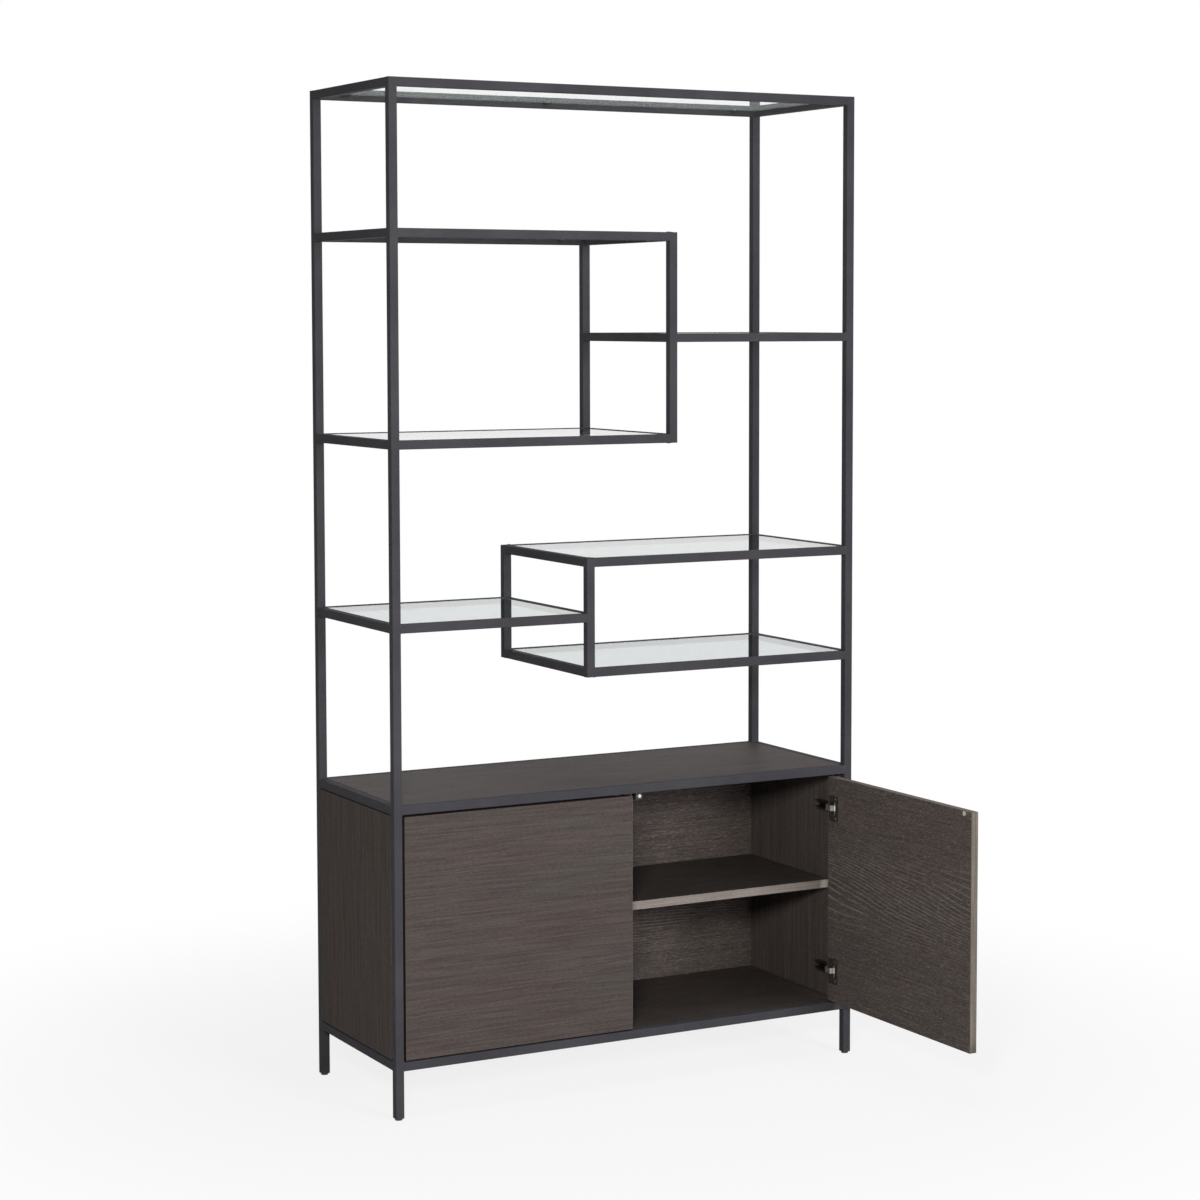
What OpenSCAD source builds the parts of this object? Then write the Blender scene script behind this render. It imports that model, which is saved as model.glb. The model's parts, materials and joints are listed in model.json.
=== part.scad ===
// Open bookcase: a welded square-tube frame with stepped glass shelves
// above a cabinet with two doors. The front faces -Y, and the origin is on
// the floor, midway between the four feet. One door is drawn standing open.

/* [Frame] */
// Overall width across the posts
frame_w = 1200; // [1000:10:1500]
// Overall depth across the posts
frame_d = 450; // [380:10:560]
// Height of the top of the frame above the floor
frame_h = 2300; // [2150:10:2500]
// Outside width of the square tube
tube = 20; // [17:1:26]
// Wall of the square tube
tube_wall = 1.5; // [1:0.1:2.5]
// Radius of the tube's outer edges
tube_edge_r = 1.6; // [1:0.1:2.5]
// Radius of the vent hole in a closed tube
vent_r = 1.5; // [1:0.5:3]

/* [Shelf levels] */
// Top of the upper box, as a share of the height above the cabinet
upper_top_share = 0.796; // [0.76:0.002:0.84]
// Top of the upper box's bottom rails, as a share of the same height
upper_bottom_share = 0.506; // [0.46:0.002:0.56]
// Top of the lower box, as a share of the same height
lower_top_share = 0.3315; // [0.3:0.0005:0.38]
// Top of the lower box's bottom rails, as a share of the same height
lower_bottom_share = 0.1735; // [0.14:0.0005:0.22]
// Width of each box from its side of the frame to its far upright
box_w = 718; // [640:1:800]

/* [Glass] */
// Thickness of the glass
glass_t = 6; // [4:0.5:8]
// Gap round the edge of the glass
glass_gap = 1; // [0.5:0.5:2]
// Depth of the glass below the top of its rails
glass_drop = 1; // [0:0.5:2]
// Radius of the clear bumper under the glass
bumper_r = 5; // [3:0.5:7]
// Thickness of the bumper
bumper_t = 1; // [0.5:0.5:2]
// Width and reach of a welded tab
tab_w = 18; // [14:1:24]
// Thickness of a welded tab
tab_t = 2; // [1.5:0.5:3]
// Distance from the end of a rail to its first tab
tab_inset = 60; // [40:5:80]
// Largest distance between the tabs under a glass
glass_tab_pitch = 560; // [400:10:800]

/* [Cabinet] */
// Top of the cabinet
cabinet_top_z = 705; // [650:5:760]
// Clear height under the cabinet
cabinet_clear = 110; // [80:5:150]
// Thickness of the top, bottom and centre boards
board_t = 18; // [15:1:22]
// Thickness of the side boards
side_t = 22; // [18:1:25]
// Width of the rebate round the outer face of a side board
rebate_w = 3; // [1:0.5:5]
// Depth of the rebate
rebate_depth = 8; // [4:0.5:10]
// Thickness of the back board
back_t = 12; // [9:1:15]
// Gap round the boards that sit in the frame
board_gap = 0.5; // [0.3:0.1:1]
// Largest distance between the tabs under half of a board
board_tab_pitch = 450; // [200:10:600]
// Largest distance between the tabs behind the back board
back_tab_pitch = 280; // [200:10:400]
// Distance of the centre board behind the closed doors
divider_setback = 5; // [3:1:12]
// Thickness of the inner shelves
shelf_t = 20; // [16:1:25]
// Distance of the inner shelves behind the closed doors
shelf_setback = 44; // [20:1:80]
// Gap at the sides and back of the inner shelves
shelf_gap = 1; // [0.5:0.5:2]
// Height of the inner shelves above the cabinet floor
shelf_rise = 288; // [220:1:340]
// Radius of a shelf pin
pin_r = 2.5; // [2:0.5:3]
// Length of a shelf pin outside its hole
pin_out = 8; // [6:0.5:10]
// Depth of the hole for a shelf pin in a side board
pin_in = 9; // [7:0.5:12]
// Distance of a shelf pin from the front and back of its shelf
pin_inset = 40; // [30:5:80]

/* [Doors] */
// Thickness of a door
door_t = 18; // [17:0.5:20]
// Gap between a door and its post
door_side_gap = 5; // [4:0.5:7]
// Gap between the doors
door_mid_gap = 4; // [3:0.5:6]
// Gap above a door
door_top_gap = 5; // [3:0.5:7]
// Gap below a door
door_bottom_gap = 4; // [3:0.5:6]
// Angle at which the right-hand door stands open
door_open = 91; // [80:1:94]

/* [Hinges] */
// Distance of a hinge from the end of the door
hinge_inset = 75; // [60:5:110]
// Distance of the turning axis from the edge of the door
pivot_inset = 14; // [13:0.5:15]
// Radius of the cup in the door
cup_r = 17.5; // [17:0.1:18]
// Depth of the cup in the door
cup_depth = 12; // [11:0.5:13]
// Wall of the cup
cup_wall = 1.2; // [1:0.1:1.5]
// Distance of the cup's centre from the edge of the door
cup_inset = 24; // [23:0.5:25]
// Thickness of the cup's flange
flange_t = 1.2; // [1:0.1:1.5]
// Width of the cup's flange
flange_w = 39; // [38:0.5:42]
// Height of the cup's flange
flange_h = 62; // [58:0.5:64]
// Radius of the corners of the flange
flange_corner_r = 5; // [2:0.5:7]
// Distance of a cup screw above and below the cup's centre
cup_screw_z = 24; // [22:0.5:25]
// Distance of a cup screw beyond the cup's centre
cup_screw_x = 6; // [5:0.5:7]
// Distance of the link's pin from the edge of the door
link_pin_inset = 19; // [18.5:0.5:20]
// Depth of the link's pin below the inner face of the door
link_pin_depth = 6; // [5.5:0.5:6.5]
// Radius of the link's pin
link_pin_r = 1.5; // [1.2:0.1:1.6]
// Size that the outline of the link follows
link_size = 11; // [10.5:0.1:11.5]
// Thickness of the link's strap
link_t = 2; // [1.5:0.1:2.2]
// Height of the link
link_h = 13; // [10:0.5:13]
// Turn of the link against the cabinet while a door opens
link_turn = 20; // [18:1:22]
// Radius of the link's eyes
link_eye_r = 2.8; // [2.5:0.1:3]
// Wall of the arm
arm_wall = 1.2; // [1:0.1:1.5]
// Depth of the arm's channel
arm_depth = 17; // [15:0.5:18]
// Length of the arm
arm_len = 61; // [55:1:70]
// Distance of the arm behind a closed door
arm_setback = 8; // [7:0.5:10]
// Distance of the arm from the side board
arm_stand = 12; // [11:0.5:13]
// Height of the post between the arm and its plate
riser_h = 8; // [6:0.5:12]
// Distance of the plate's screws behind the front of the side board
plate_setback = 37; // [35:1:45]
// Length of the plate up and down the side board
plate_h = 48; // [44:1:56]
// Width of the plate
plate_w = 13; // [11:1:16]
// Thickness of the plate
plate_t = 2; // [1.5:0.5:3]
// Distance of a plate screw above and below the middle of the plate
plate_screw_z = 16; // [14:0.5:18]

/* [Screws] */
// Radius of a screw's shank
screw_r = 1.8; // [1.5:0.1:2.2]
// Radius of a screw's head
head_r = 3.6; // [3:0.1:4.5]
// Thickness of a screw's head
head_t = 1.2; // [1:0.1:2]
// Length of a screw under its head
screw_len = 10; // [6:0.5:11]
// Width of the slot in a screw's head
slot_w = 0.9; // [0.6:0.1:1.2]
// Depth of the slot in a screw's head
slot_depth = 0.6; // [0.4:0.1:0.9]

/* [Latches] */
// Width of a latch body
latch_w = 16; // [14:0.5:20]
// Length of a latch body
latch_len = 52; // [46:1:70]
// Depth of a latch body below its plunger's centre
latch_under = 8; // [7:0.5:11]
// Gap between a latch body and the centre board
latch_gap = 11.5; // [8:0.5:14]
// Distance of a latch body behind a closed door
latch_setback = 6; // [5:0.5:9]
// Distance of a latch's screw from the back of its body
latch_screw_inset = 10; // [8:0.5:12]
// Depth of a latch's screw in the cabinet top
latch_screw_in = 10; // [8:0.5:12]
// Radius of the plunger
plunger_r = 4; // [3:0.5:5]
// Length of the plunger inside the latch body
plunger_in = 24; // [20:1:26]
// Travel of the plunger when a door is pressed
plunger_travel = 3; // [2:0.5:4]
// Radius of the strike on a door
strike_r = 5; // [4:0.5:6]
// Thickness of the strike
strike_t = 1.5; // [1:0.5:2]
// Distance of the strike from the top of the door
strike_inset = 1; // [0.5:0.5:3]

/* [Feet] */
// Radius of a foot glide
glide_r = 8.5; // [7:0.5:8.5]
// Thickness of a foot glide
glide_t = 4; // [3:0.5:6]
// Thickness of the flange that closes the tube
plug_flange_t = 1.5; // [1:0.5:3]
// Length of the plug in the tube
plug_len = 20; // [12:1:30]

/* [Hidden] */
$fn = 48;
// Clearance round a fixed pin or screw in its hole
fit = 0.05;
// Clearance of a piece that is pushed in, and past the end of a screw
loose = 0.15;
// Clearance between pieces that turn or slide on each other
running = 0.3;
// Overrun of every cut past the face that it opens
over = 1;
// Centre line of the link from its pin to its tail, times link_size
link_path_shares = [[0, 0], [-1, 0.2], [-1, 2], [-0.65, 2.5], [1, 3]];

half_w = frame_w / 2;
half_d = frame_d / 2;
post_x = half_w - tube / 2;
post_y = half_d - tube / 2;
inner_x = half_w - tube;
inner_y = half_d - tube;
post_foot_z = glide_t + plug_flange_t;
tube_bore = tube - 2 * tube_wall;

// Each level: its left edge, its right edge and the top of its rails
open_h = frame_h - cabinet_top_z;
upper_top_z = cabinet_top_z + upper_top_share * open_h;
upper_bottom_z = cabinet_top_z + upper_bottom_share * open_h;
lower_top_z = cabinet_top_z + lower_top_share * open_h;
lower_bottom_z = cabinet_top_z + lower_bottom_share * open_h;
upper_end_x = box_w - half_w;
lower_end_x = half_w - box_w;
middle_z = (upper_top_z + upper_bottom_z) / 2;
left_z = (lower_top_z + lower_bottom_z) / 2;
floor_z = cabinet_clear + tube;
top_level = [-half_w, half_w, frame_h];
upper_top_level = [-half_w, upper_end_x, upper_top_z];
middle_level = [upper_end_x - tube, half_w, middle_z];
upper_bottom_level = [-half_w, upper_end_x, upper_bottom_z];
lower_top_level = [lower_end_x, half_w, lower_top_z];
left_level = [-half_w, lower_end_x + tube, left_z];
lower_bottom_level = [lower_end_x, half_w, lower_bottom_z];
cabinet_top_level = [-half_w, half_w, cabinet_top_z];
cabinet_bottom_level = [-half_w, half_w, floor_z];
GLASS_LEVELS = [top_level, upper_top_level, middle_level, upper_bottom_level,
                lower_top_level, left_level, lower_bottom_level];

// The cabinet
lintel_z = cabinet_top_z - tube;
top_under_z = cabinet_top_z - board_t;
side_face_x = half_w - side_t;
divider_face_x = board_t / 2;
door_in_y = -half_d + door_t;
shelf_z = floor_z + shelf_rise;
shelf_front_y = door_in_y + shelf_setback;
shelf_back_y = inner_y - shelf_gap;
pin_z = shelf_z - shelf_t - pin_r;
pin_ys = [shelf_front_y + pin_inset, shelf_back_y - pin_inset];
back_screw_x = inner_x - tab_w / 2;

// The doors and hinges, as they are on the right when closed
door_far_x = inner_x - door_side_gap;
door_near_x = door_mid_gap / 2;
door_top_z = lintel_z - door_top_gap;
door_bottom_z = floor_z + door_bottom_gap;
pivot = [door_far_x - pivot_inset, -half_d];
hinge_zs = [door_bottom_z + hinge_inset, door_top_z - hinge_inset];
cup_x = door_far_x - cup_inset;
cup_cavity_r = cup_r - cup_wall;
link_pin = [door_far_x - link_pin_inset, door_in_y - link_pin_depth];
arm_y = door_in_y + arm_setback;
arm_x = side_face_x - arm_stand;
arm_half_h = link_h / 2 + running + arm_wall;
plate_y = -inner_y + plate_setback;

// The latches
latch_x = divider_face_x + latch_gap + latch_w / 2;
latch_y = door_in_y + latch_setback;
latch_z = door_top_z - strike_inset - strike_r;
latch_h = top_under_z - latch_z + latch_under;
latch_screw_y = latch_y + latch_len - latch_screw_inset;
plunger_tip_y = door_in_y + strike_t + running;

// A point of the closed right-hand door after the door has turned by an angle
function turned(p, a) = [
    pivot[0] + (p[0] - pivot[0]) * cos(a) - (p[1] - pivot[1]) * sin(a),
    pivot[1] + (p[0] - pivot[0]) * sin(a) + (p[1] - pivot[1]) * cos(a)];

// Evenly spaced places from a to b, no further apart than the pitch
function places(a, b, pitch) =
    let (n = max(1, ceil((b - a) / pitch)))
    [for (i = [0:n]) a + i * (b - a) / n];

function glass_tab_xs(level) =
    places(level[0] + tube + tab_inset, level[1] - tube - tab_inset, glass_tab_pitch);
function board_tab_xs() =
    let (right = places(tab_inset + tab_w, inner_x - tab_inset, board_tab_pitch))
    concat(-right, right);
function back_tab_zs() = places(floor_z + tab_inset, lintel_z - tab_inset, back_tab_pitch);
function glass_under_z(level) = level[2] - glass_drop - glass_t;

// The corner of a strap at point i of its centre line, at a distance to the left
function unit(v) = v / norm(v);
function left_of(v) = [-v[1], v[0]];
function strap_corner(path, i, d) =
    let (n = len(path) - 1,
         a = left_of(unit(path[min(i + 1, n)] - path[min(i, n - 1)])),
         b = left_of(unit(path[max(i, 1)] - path[max(i - 1, 0)])),
         m = unit(a + b))
    path[i] + m * d / (m * a);

// A block between two opposite corners
module block(lo, hi) translate(lo) cube(hi - lo);

// Outline of a rectangle with rounded corners, about its centre
module rounded(w, h, r) {
    square([w, h - 2 * r], center = true);
    square([w - 2 * r, h], center = true);
    for (x = [r - w / 2, w / 2 - r], y = [r - h / 2, h / 2 - r])
        translate([x, y]) circle(r = r);
}

module tube_outline() rounded(tube, tube, tube_edge_r);

module open_tube(h) linear_extrude(h) difference() {
    tube_outline();
    square(tube_bore, center = true);
}

// An upright tube, open at the foot and closed at the top
module post(x, y) color("#343437") translate([x, y, post_foot_z]) {
    h = frame_h - post_foot_z;
    difference() {
        linear_extrude(h) tube_outline();
        translate([0, 0, -over])
            linear_extrude(h - tube_wall + over) square(tube_bore, center = true);
    }
}

// The four rails round one level, each butted against its posts or uprights
module level_rails(level) color("#343437") {
    z = level[2] - tube / 2;
    for (y = [-post_y, post_y]) translate([level[0] + tube, y, z]) rotate([90, 0, 90])
        open_tube(level[1] - level[0] - 2 * tube);
    for (x = [level[0] + tube / 2, level[1] - tube / 2]) translate([x, inner_y, z])
        rotate([90, 0, 0]) open_tube(2 * inner_y);
}

// The front and back uprights at the open end of a box, closed at both ends
// and vented at the foot
module box_uprights(x, bottom_z, top_z)
    for (y = [-post_y, post_y]) color("#343437") translate([x, y, bottom_z - tube])
        difference() {
            h = top_z - bottom_z + tube;
            linear_extrude(h) tube_outline();
            translate([0, 0, tube_wall])
                linear_extrude(h - 2 * tube_wall) square(tube_bore, center = true);
            translate([0, 0, -over]) cylinder(r = vent_r, h = tube_wall + 2 * over);
        }

// Tabs on the inner faces of the front and back rails, under a seat
module rail_tabs(xs, seat_z)
    for (x = xs, y = [-inner_y, inner_y - tab_w]) color("#343437")
        translate([x - tab_w / 2, y, seat_z - tab_t]) cube([tab_w, tab_w, tab_t]);

module shelf_tabs()
    for (level = GLASS_LEVELS)
        rail_tabs(glass_tab_xs(level), glass_under_z(level) - bumper_t);

// Tabs under the top and bottom boards, and drilled tabs behind the back board
module cabinet_tabs() {
    rail_tabs(board_tab_xs(), top_under_z);
    rail_tabs(board_tab_xs(), floor_z - board_t);
    for (x = [-inner_x, inner_x - tab_w], z = back_tab_zs()) color("#343437")
        translate([x, inner_y + back_t, z - tab_w / 2]) difference() {
            cube([tab_w, tab_t, tab_w]);
            translate([tab_w / 2, -over, tab_w / 2]) rotate([-90, 0, 0])
                cylinder(r = screw_r + fit, h = tab_t + 2 * over);
        }
}

module glass_bumpers() {
    bumper_y = inner_y - tab_w / 2;
    for (level = GLASS_LEVELS, x = glass_tab_xs(level), y = [-bumper_y, bumper_y])
        color("#dfe6e6") translate([x, y, glass_under_z(level) - bumper_t])
            cylinder(r = bumper_r, h = bumper_t);
}

module glass_panel(level) color("#bfd4d2", 0.35)
    block([level[0] + tube + glass_gap, -inner_y + glass_gap, glass_under_z(level)],
          [level[1] - tube - glass_gap, inner_y - glass_gap, level[2] - glass_drop]);

// A board that lies in the rails of one level, flush with their tops
module level_board(level)
    block([level[0] + tube + board_gap, -inner_y + board_gap, level[2] - board_t],
          [level[1] - tube - board_gap, inner_y - board_gap, level[2]]);

module cabinet_top_panel() color("#5c5652") difference() {
    level_board(cabinet_top_level);
    for (x = [-latch_x, latch_x]) translate([x, latch_screw_y, top_under_z - over])
        cylinder(r = screw_r + fit, h = latch_screw_in + loose + over);
}

// A side board, drawn on the right, with the holes for its pins and plates.
// Its outer face is flush with the frame, and the rebate leaves a dark line.
module side_board() color("#3b3633") difference() {
    union() {
        block([side_face_x, -inner_y + board_gap, floor_z],
              [half_w - rebate_depth, inner_y, lintel_z]);
        block([side_face_x, -inner_y + rebate_w, floor_z + rebate_w],
              [half_w, inner_y - rebate_w, lintel_z - rebate_w]);
    }
    for (y = pin_ys) translate([side_face_x - over, y, pin_z]) rotate([0, 90, 0])
        cylinder(r = pin_r + fit, h = pin_in + over);
    for (z = hinge_zs, dz = [-plate_screw_z, plate_screw_z])
        translate([side_face_x - over, plate_y, z + dz]) rotate([0, 90, 0])
            cylinder(r = screw_r + fit, h = screw_len + loose + over);
}

module cabinet_back_panel() color("#4b4541") difference() {
    block([-inner_x + board_gap, inner_y, floor_z],
          [inner_x - board_gap, inner_y + back_t, lintel_z]);
    for (x = [-back_screw_x, back_screw_x], z = back_tab_zs())
        translate([x, inner_y - over, z]) rotate([-90, 0, 0])
            cylinder(r = screw_r + fit, h = back_t + 2 * over);
}

module cabinet_divider() color("#4b4541") difference() {
    block([-divider_face_x, door_in_y + divider_setback, floor_z],
          [divider_face_x, inner_y, top_under_z]);
    for (y = pin_ys) translate([-divider_face_x - over, y, pin_z]) rotate([0, 90, 0])
        cylinder(r = pin_r + fit, h = board_t + 2 * over);
}

// The shelf of the right-hand compartment
module inner_shelf() color("#4b4541")
    block([divider_face_x + shelf_gap, shelf_front_y, shelf_z - shelf_t],
          [side_face_x - shelf_gap, shelf_back_y, shelf_z]);

// Four pins under each inner shelf, in the side boards and the centre board
module shelf_pins()
    for (y = pin_ys, side = [-1, 1]) color("#b9b9b6") {
        translate([side * (side_face_x - pin_out), y, pin_z]) rotate([0, side * 90, 0])
            cylinder(r = pin_r, h = pin_out + pin_in - loose);
        translate([side * (divider_face_x + pin_out), y, pin_z]) rotate([0, side * -90, 0])
            cylinder(r = pin_r, h = pin_out + divider_face_x - loose);
    }

// A slotted screw whose head stands on z = 0 and whose shank points down
module screw(under) color("#c9c9c6") {
    difference() {
        cylinder(r = head_r, h = head_t);
        translate([-head_r - over, -slot_w / 2, head_t - slot_depth])
            cube([2 * (head_r + over), slot_w, slot_depth + over]);
    }
    translate([0, 0, -under]) cylinder(r = screw_r, h = under);
}

module back_screws()
    for (x = [-back_screw_x, back_screw_x], z = back_tab_zs())
        translate([x, inner_y + back_t + tab_t, z]) rotate([-90, 0, 0]) screw(screw_len);

// Mirrors what is drawn on the right to the side asked for
module on_side(side) mirror([side < 0 ? 1 : 0, 0, 0]) children();

// Turns what is drawn on the closed right-hand door to an angle
module on_door(angle) translate([pivot[0], pivot[1], 0]) rotate([0, 0, angle])
    translate([-pivot[0], -pivot[1], 0]) children();

// The places of a door's cup screws, on its inner face and pointing out of it
module at_cup_screws()
    for (z = hinge_zs, dz = [-cup_screw_z, cup_screw_z])
        translate([cup_x - cup_screw_x, door_in_y, z + dz]) rotate([-90, 0, 0]) children();

module door_board() color("#554e4a") difference() {
    block([door_near_x, -half_d, door_bottom_z], [door_far_x, door_in_y, door_top_z]);
    for (z = hinge_zs) translate([cup_x, door_in_y + over, z]) rotate([90, 0, 0])
        cylinder(r = cup_r + fit, h = cup_depth + loose + over);
    at_cup_screws() translate([0, 0, -screw_len - loose])
        cylinder(r = screw_r + fit, h = screw_len + loose + over);
}

// The cups of one door, each with its flange and the pin that carries its link
module cups() for (z = hinge_zs) color("#b4b4b2") {
    pin_reach = sqrt(pow(cup_cavity_r, 2) - pow(link_pin[0] - cup_x, 2)) + cup_wall / 2;
    translate([cup_x, door_in_y, z]) difference() {
        union() {
            rotate([90, 0, 0]) cylinder(r = cup_r, h = cup_depth);
            rotate([-90, 0, 0]) linear_extrude(flange_t)
                rounded(flange_w, flange_h, flange_corner_r);
        }
        translate([0, flange_t + over, 0]) rotate([90, 0, 0])
            cylinder(r = cup_cavity_r, h = cup_depth - cup_wall + flange_t + over);
        for (dz = [-cup_screw_z, cup_screw_z]) translate([-cup_screw_x, -over, dz])
            rotate([-90, 0, 0]) cylinder(r = screw_r + fit, h = flange_t + 2 * over);
    }
    translate([link_pin[0], link_pin[1], z - pin_reach])
        cylinder(r = link_pin_r, h = 2 * pin_reach);
}

// The links of one door at an angle of that door, each hooked from its pin
// in the cup round the edge of the door to a tail inside the arm
module links(angle) {
    path = [for (p = link_path_shares) p * link_size];
    last = len(path) - 1;
    at = turned(link_pin, angle);
    for (z = hinge_zs) color("#c4c4c1") translate([at[0], at[1], z - link_h / 2])
        rotate([0, 0, link_turn * (door_open - angle) / door_open]) difference() {
            union() {
                linear_extrude(link_h) polygon(concat(
                    [for (i = [0:last]) strap_corner(path, i, link_t / 2)],
                    [for (i = [last:-1:0]) strap_corner(path, i, -link_t / 2)]));
                cylinder(r = link_eye_r, h = link_h);
                translate([path[last][0], path[last][1], 0]) cylinder(r = link_eye_r, h = link_h);
            }
            translate([0, 0, -over]) cylinder(r = link_pin_r + running, h = link_h + 2 * over);
        }
}

// Two channels on the right, each on a post from a plate on the side board
module arms() for (z = hinge_zs) color("#8d8d8c") translate([0, 0, z]) {
    plate_x = side_face_x - plate_t;
    block([arm_x - arm_wall, arm_y, -arm_half_h], [arm_x, arm_y + arm_len, arm_half_h]);
    for (flange_z = [-arm_half_h, arm_half_h - arm_wall])
        translate([arm_x - arm_depth, arm_y, flange_z]) cube([arm_depth, arm_len, arm_wall]);
    block([arm_x, plate_y - plate_w / 2, -riser_h / 2],
          [plate_x, plate_y + plate_w / 2, riser_h / 2]);
    difference() {
        block([plate_x, plate_y - plate_w / 2, -plate_h / 2],
              [side_face_x, plate_y + plate_w / 2, plate_h / 2]);
        for (dz = [-plate_screw_z, plate_screw_z]) translate([plate_x - over, plate_y, dz])
            rotate([0, 90, 0]) cylinder(r = screw_r + fit, h = plate_t + 2 * over);
    }
}

module plate_screws()
    for (z = hinge_zs, dz = [-plate_screw_z, plate_screw_z])
        translate([side_face_x - plate_t, plate_y, z + dz]) rotate([0, -90, 0])
            screw(screw_len);

// A latch body on the right, bored for its plunger and its screw
module latch_body() color("#2b2a2a") difference() {
    translate([latch_x - latch_w / 2, latch_y, top_under_z - latch_h])
        cube([latch_w, latch_len, latch_h]);
    translate([latch_x, latch_y - over, latch_z]) rotate([-90, 0, 0])
        cylinder(r = plunger_r + running, h = plunger_in + plunger_travel + running + over);
    translate([latch_x, latch_screw_y, top_under_z - latch_h - over])
        cylinder(r = screw_r + fit, h = latch_h + 2 * over);
}

module latch_screw() translate([latch_x, latch_screw_y, top_under_z - latch_h])
    rotate([180, 0, 0]) screw(latch_h + latch_screw_in);

module latch_plunger() color("#f0f0ec")
    translate([latch_x, plunger_tip_y, latch_z]) rotate([-90, 0, 0])
        cylinder(r = plunger_r, h = latch_y - plunger_tip_y + plunger_in);

module strike() color("#d2d2cf")
    translate([latch_x, door_in_y, latch_z]) rotate([-90, 0, 0])
        cylinder(r = strike_r, h = strike_t);

// A round glide under a plug that is pushed into the foot of a post
module foot_glide() color("#161616") {
    plug_w = tube_bore - 2 * loose;
    cylinder(r = glide_r, h = glide_t);
    translate([0, 0, glide_t]) linear_extrude(plug_flange_t) tube_outline();
    translate([0, 0, glide_t]) linear_extrude(plug_flange_t + plug_len)
        square(plug_w, center = true);
}

post(-post_x, -post_y);  // post_front_left
post(post_x, -post_y);  // post_front_right
post(-post_x, post_y);  // post_back_left
post(post_x, post_y);  // post_back_right
level_rails(top_level);  // top_rails
level_rails(upper_top_level);  // upper_box_top_rails
level_rails(upper_bottom_level);  // upper_box_bottom_rails
box_uprights(upper_end_x - tube / 2, upper_bottom_z, upper_top_z);  // upper_box_uprights
level_rails(middle_level);  // middle_shelf_rails
level_rails(lower_top_level);  // lower_box_top_rails
level_rails(lower_bottom_level);  // lower_box_bottom_rails
box_uprights(lower_end_x + tube / 2, lower_bottom_z, lower_top_z);  // lower_box_uprights
level_rails(left_level);  // left_shelf_rails
level_rails(cabinet_top_level);  // cabinet_top_rails
level_rails(cabinet_bottom_level);  // cabinet_bottom_rails
shelf_tabs();
cabinet_tabs();
glass_bumpers();
glass_panel(top_level);  // top_glass
glass_panel(upper_top_level);  // upper_box_top_glass
glass_panel(middle_level);  // middle_glass
glass_panel(upper_bottom_level);  // upper_box_bottom_glass
glass_panel(lower_top_level);  // lower_box_top_glass
glass_panel(left_level);  // left_glass
glass_panel(lower_bottom_level);  // lower_box_bottom_glass
cabinet_top_panel();
color("#4b4541") level_board(cabinet_bottom_level);  // cabinet_bottom_panel
on_side(-1) side_board();  // cabinet_side_left
side_board();  // cabinet_side_right
cabinet_back_panel();
cabinet_divider();
on_side(-1) inner_shelf();  // cabinet_shelf_left
inner_shelf();  // cabinet_shelf_right
shelf_pins();
back_screws();
on_side(-1) door_board();  // door_left
on_door(door_open) door_board();  // door_right
on_side(-1) cups();  // hinge_cups_left
on_door(door_open) cups();  // hinge_cups_right
on_side(-1) links(0);  // hinge_links_left
links(door_open);  // hinge_links_right
for (side = [-1, 1]) on_side(side) arms();  // hinge_arms
for (side = [-1, 1]) on_side(side) plate_screws();  // hinge_screws
on_side(-1) at_cup_screws() translate([0, 0, flange_t]) screw(screw_len);  // cup_screws_left
on_door(door_open) at_cup_screws() translate([0, 0, flange_t]) screw(screw_len);  // cup_screws_right
for (side = [-1, 1]) on_side(side) latch_body();  // latch_bodies
for (side = [-1, 1]) on_side(side) latch_screw();  // latch_screws
on_side(-1) latch_plunger();  // latch_plunger_left
latch_plunger();  // latch_plunger_right
on_side(-1) strike();  // strike_left
on_door(door_open) strike();  // strike_right
for (x = [-post_x, post_x], y = [-post_y, post_y]) translate([x, y, 0]) foot_glide();  // foot_glides
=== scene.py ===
"""Open bookcase: welded square steel tube, seven glass shelves and a two-door cabinet in dark oak."""
import json
import math

import bpy
import numpy as np
from mathutils import Matrix, Vector


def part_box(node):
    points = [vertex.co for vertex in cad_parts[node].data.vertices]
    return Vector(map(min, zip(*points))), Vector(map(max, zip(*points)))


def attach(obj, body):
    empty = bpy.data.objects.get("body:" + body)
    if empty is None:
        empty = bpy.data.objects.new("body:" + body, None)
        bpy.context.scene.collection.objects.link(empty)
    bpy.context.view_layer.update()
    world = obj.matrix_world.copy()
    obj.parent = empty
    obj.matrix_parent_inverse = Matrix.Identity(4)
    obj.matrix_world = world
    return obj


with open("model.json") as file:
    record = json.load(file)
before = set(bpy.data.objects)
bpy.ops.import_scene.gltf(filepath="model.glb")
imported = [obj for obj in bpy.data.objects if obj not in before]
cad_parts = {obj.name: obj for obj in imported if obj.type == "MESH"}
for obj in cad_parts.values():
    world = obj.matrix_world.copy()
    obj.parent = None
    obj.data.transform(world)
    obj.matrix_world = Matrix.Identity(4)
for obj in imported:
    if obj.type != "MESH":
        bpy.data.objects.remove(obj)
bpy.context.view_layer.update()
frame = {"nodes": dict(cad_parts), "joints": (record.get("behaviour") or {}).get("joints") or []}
nodes = frame["nodes"]


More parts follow.
